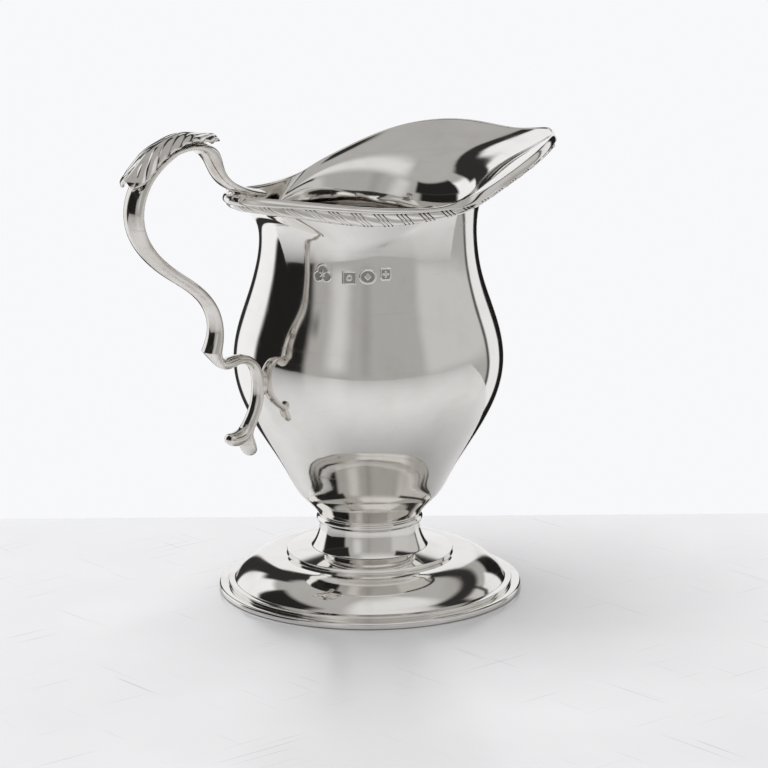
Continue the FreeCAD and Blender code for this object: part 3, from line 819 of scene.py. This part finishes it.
def bar_rings(stations):
    centres = [handle_point(out, up) for out, up, _, _ in stations]
    return [section(centre, heading, deep * DEPTH_OF_SCROLL, wide * WIDTH_OF_SCROLL)
            for centre, heading, (_, _, deep, wide) in zip(centres, directions(centres), stations)]


handle_cage = bar_rings(HANDLE)
print("handle: %d stations" % len(HANDLE))

# %% Bracket, main scroll, lower scroll
BRACKET_END = 7
MAIN_SCROLL_END = 18
LOWER_SCROLL_END = len(HANDLE) - 1
for node, first, last in (("handle_rim_bracket", 0, BRACKET_END),
                          ("handle_main_scroll", BRACKET_END, MAIN_SCROLL_END),
                          ("handle_lower_scroll", MAIN_SCROLL_END, LOWER_SCROLL_END)):
    scroll = ring_skin(node + "_cast", handle_cage[first:last + 1])
    rounded(scroll, 3)
    close_ends(scroll)
    finished(scroll, handle_silver, [node], 50)

# %% [markdown]
# ## The thumb leaf
# A cast acanthus leaf caps the top, where the thumb presses. Its middle follows the scroll, its
# edges droop over the sides, slanting flutes run out from the midrib, and each flute ends in a
# small scallop. A grid is shaped along the scroll by those rules and then given thickness.

# %% Thumb leaf
LEAF = [(5, 0.90, 0.74), (6, 1.0, 0.84), (7, 1.0, 0.92), (8, 1.0, 1.0), (9, 0.90, 1.0)]
LEAF_ROOT = (0.098, 1.322, 0.80, 0.62)
LEAF_TIP = (1.010, 1.150, 0.60, 0.80)
LEAF_THICKNESS = 1.5
LEAF_BITE = 0.4
LEAF_HALF_WIDTH = 4.4
LEAF_DROOP = 1.0
FLUTES = 8
FLUTE_SLANT = 0.24
FLUTE_DEPTH = 0.55
MIDRIB = 0.25
handle_line = [handle_point(out, up) for out, up, _, _ in HANDLE]
headings = directions(handle_line)
spine = [handle_point(LEAF_ROOT[0], LEAF_ROOT[1])]
for station, share, _ in LEAF:
    rise = Vector((0, 1, 0)).cross(headings[station]).normalized()
    lift = (HANDLE[station][2] * DEPTH_OF_SCROLL + share * LEAF_THICKNESS) / 2 - LEAF_BITE
    spine.append(handle_line[station] + rise * lift * MM)
spine.append(handle_point(LEAF_TIP[0], LEAF_TIP[1]))
leaf_sizes = [LEAF_ROOT[2:]] + [(share, wide) for _, share, wide in LEAF] + [LEAF_TIP[2:]]


def leaf_at(distance):
    """Centre, heading, thickness and half width at a share of the leaf's length."""
    reach = distance * (len(spine) - 1)
    k = min(int(reach), len(spine) - 2)
    t = reach - k
    lines = [spine[max(k - 1, 0)], spine[k], spine[k + 1], spine[min(k + 2, len(spine) - 1)]]
    centre = Vector((0, 0, 0))
    heading = Vector((0, 0, 0))
    for line, a, b in zip(lines, (-t + 2 * t ** 2 - t ** 3, 2 - 5 * t ** 2 + 3 * t ** 3,
                                  t + 4 * t ** 2 - 3 * t ** 3, t ** 3 - t ** 2),
                          (-1 + 4 * t - 3 * t ** 2, -10 * t + 9 * t ** 2,
                           1 + 8 * t - 9 * t ** 2, 3 * t ** 2 - 2 * t)):
        centre += line * a / 2
        heading += line * b / 2
    thick = leaf_sizes[k][0] * (1 - t) + leaf_sizes[k + 1][0] * t
    wide = leaf_sizes[k][1] * (1 - t) + leaf_sizes[k + 1][1] * t
    return centre, heading.normalized(), thick, wide


nothing_selected()
bpy.ops.mesh.primitive_grid_add(x_subdivisions=160, y_subdivisions=44, size=2)
leaf = bpy.context.object
leaf.name = leaf.data.name = "handle_leaf_fluted"
cuts = leaf.data.attributes.new("groove", "FLOAT", "POINT")
for number, vert in enumerate(leaf.data.vertices):
    along_leaf = (vert.co.x + 1) / 2
    side = vert.co.y
    centre, heading, thick, wide = leaf_at(along_leaf)
    rise = Vector((0, 1, 0)).cross(heading).normalized()
    flute = (along_leaf - FLUTE_SLANT * abs(side)) * FLUTES
    ridge = abs(math.sin(math.pi * flute)) ** 0.7
    from_ends = min(1, max(0, (0.90 - along_leaf) / 0.2), 0.4 + along_leaf * 8)
    spread = min(1, abs(side) * 3) * from_ends
    cuts.data[number].value = (1 - ridge) ** 0.6 * spread
    half = wide * LEAF_HALF_WIDTH * (1 - 0.10 * (1 - ridge) * side * side)
    past_end = max(0, (along_leaf - 0.84) / 0.16, (0.08 - along_leaf) / 0.08)
    half *= math.sqrt(1 - 0.75 * past_end ** 2)
    crown = thick * 0.75 * math.sqrt(max(0, 1 - 0.8 * side * side))
    lift = crown - LEAF_DROOP * wide * side * side
    lift += FLUTE_DEPTH * (ridge - 0.6) * spread + MIDRIB * math.exp(-(side / 0.12) ** 2)
    vert.co = centre + (rise * lift + Vector((0, 1, 0)) * side * half) * MM
add_modifier(leaf, "SOLIDIFY", thickness=0.8 * MM, offset=-1)
add_modifier(leaf, "SUBSURF", levels=1, render_levels=1)
finished(leaf, leaf_silver, ["handle_leaf_cap"], 60)

# %% [markdown]
# ## The forked tail
# The lower scroll ends in two short prongs, one curling out and one hanging down. Both start
# from the scroll's last ring, so the metal runs on without a step.

# %% Forked tail
TAILS = {"handle_tail_out": [(0.246, -0.265, 1.20, 0.70), (0.335, -0.276, 1.10, 0.70),
                             (0.410, -0.264, 0.80, 0.58)],
         "handle_tail_down": [(0.214, -0.278, 1.20, 0.70), (0.196, -0.328, 1.20, 0.70),
                              (0.170, -0.373, 0.90, 0.58)]}
for name, stations in TAILS.items():
    prong = ring_skin(name, [handle_cage[-2], handle_cage[-1]] + bar_rings(stations))
    close_ends(prong)
    rounded(prong, 3)
    finished(prong, handle_silver, ["handle_forked_tail"], 60)

# %% [markdown]
# ## Solder
# Where the handle meets the lip and the belly, a repair has left lumps of solder. Each starts
# as a sphere, is stretched to its place, and then pushed in and out by noise as the molten
# metal left it.

# %% Solder lumps
def solder_lump(name, centre, reach, node, seed):
    nothing_selected()
    bpy.ops.mesh.primitive_ico_sphere_add(subdivisions=5, radius=1)
    lump = bpy.context.object
    lump.name = lump.data.name = name
    for vert in lump.data.vertices:
        swell = 1 + 0.16 * noise.noise(vert.co * 1.6 + Vector((seed, 0, 0)))
        vert.co = Vector((centre[k] + vert.co[k] * reach[k] * swell for k in range(3))) * MM
    return finished(lump, solder_silver, [node], 70)


solder_lump("solder_at_lip_lump", (-38.4, 0, 102.6), (4.2, 3.2, 1.7), "solder_at_lip", 3)
solder_lump("solder_at_belly_lump", (-33.4, 0, 57.0), (1.0, 1.5, 3.0), "solder_at_belly", 7)

# %% [markdown]
# ## Struck marks
# Silver carries small marks struck with steel punches, each a shaped frame round a raised
# device. These four are plain shapes of no maker: a star in a trefoil, a ring in a square, a
# diamond in an oval and a cross in a shield. A small grid is raised by the device's shape and
# laid on the curve of the bowl.

# %% Marks
known_walls = {}


def wall_at(height):
    """Radius and slope of the round body at a height, found once for each height."""
    key = round(height, 7)
    if key not in known_walls:
        low, high = 1.0, 12.5
        for _ in range(30):
            level = (low + high) / 2
            if on_ring(ring_at(level), 0).z < height:
                low = level
            else:
                high = level
        radius = on_ring(ring_at(low), 0).xy.length
        above = on_ring(ring_at(low + 0.1), 0)
        known_walls[key] = (radius, (above.xy.length - radius) / (above.z - height))
    return known_walls[key]


def bowl_place(angle, height):
    """A place on the bowl's outside at an angle round it and a height, and the way out."""
    radius, slope = wall_at(height)
    out = Vector((math.cos(angle), math.sin(angle), -slope)).normalized()
    return Vector((radius * math.cos(angle), radius * math.sin(angle), height)), out


def frame_edge(kind, x, y):
    """Distance outside the mark's frame, below 0 inside it; the frame is about 1 across."""
    if kind == "trefoil":
        return min(math.hypot(x, y - 0.18) - 0.30, math.hypot(x - 0.22, y + 0.14) - 0.27,
                   math.hypot(x + 0.22, y + 0.14) - 0.27)
    if kind == "square":
        return max(abs(x), abs(y)) - 0.42
    if kind == "oval":
        return math.hypot(x / 1.15, y) - 0.42
    return max(abs(x) - 0.36, abs(y) - 0.42, abs(x) * 0.8 - y * 0.6 - 0.44)


def device(kind, x, y):
    """1 on the raised device in the middle of the mark, 0 around it."""
    if kind == "trefoil":
        return float(math.hypot(x, y) < 0.13 + 0.07 * math.cos(5 * math.atan2(x, y)))
    if kind == "square":
        return float(0.10 < math.hypot(x, y) < 0.22)
    if kind == "oval":
        return float(abs(x) + abs(y) < 0.22)
    return float(min(abs(x), abs(y)) < 0.06 and max(abs(x), abs(y)) < 0.24)


NECK_RADIUS = ROUND_RINGS[-1][0]
MARKS = [("trefoil", 206.5, 84.3, 4.4), ("square", 220.6, 83.6, 3.4), ("oval", 230.0, 83.9, 3.8),
         ("shield", 239.0, 84.4, 3.2)]
for kind, degrees, height, width in MARKS:
    nothing_selected()
    bpy.ops.mesh.primitive_grid_add(x_subdivisions=44, y_subdivisions=44, size=1.1)
    mark = bpy.context.object
    mark.name = mark.data.name = "struck_mark_" + kind
    cuts = mark.data.attributes.new("groove", "FLOAT", "POINT")
    for number, vert in enumerate(mark.data.vertices):
        edge = frame_edge(kind, vert.co.x, vert.co.y)
        rim = math.exp(-(edge / 0.035) ** 2)
        raised = device(kind, vert.co.x, vert.co.y) if edge < -0.05 else 0
        lift = -0.06 + 0.08 * (edge < 0.03) + 0.10 * max(rim, raised)
        cuts.data[number].value = 0.56 * (edge < 0) * (1 - max(rim, raised))
        turned_by = vert.co.x * width / NECK_RADIUS
        place, out = bowl_place(math.radians(degrees) + turned_by, (height + vert.co.y * width) * MM)
        vert.co = place + out * lift * MM
    finished(mark, mark_silver, angle=60)
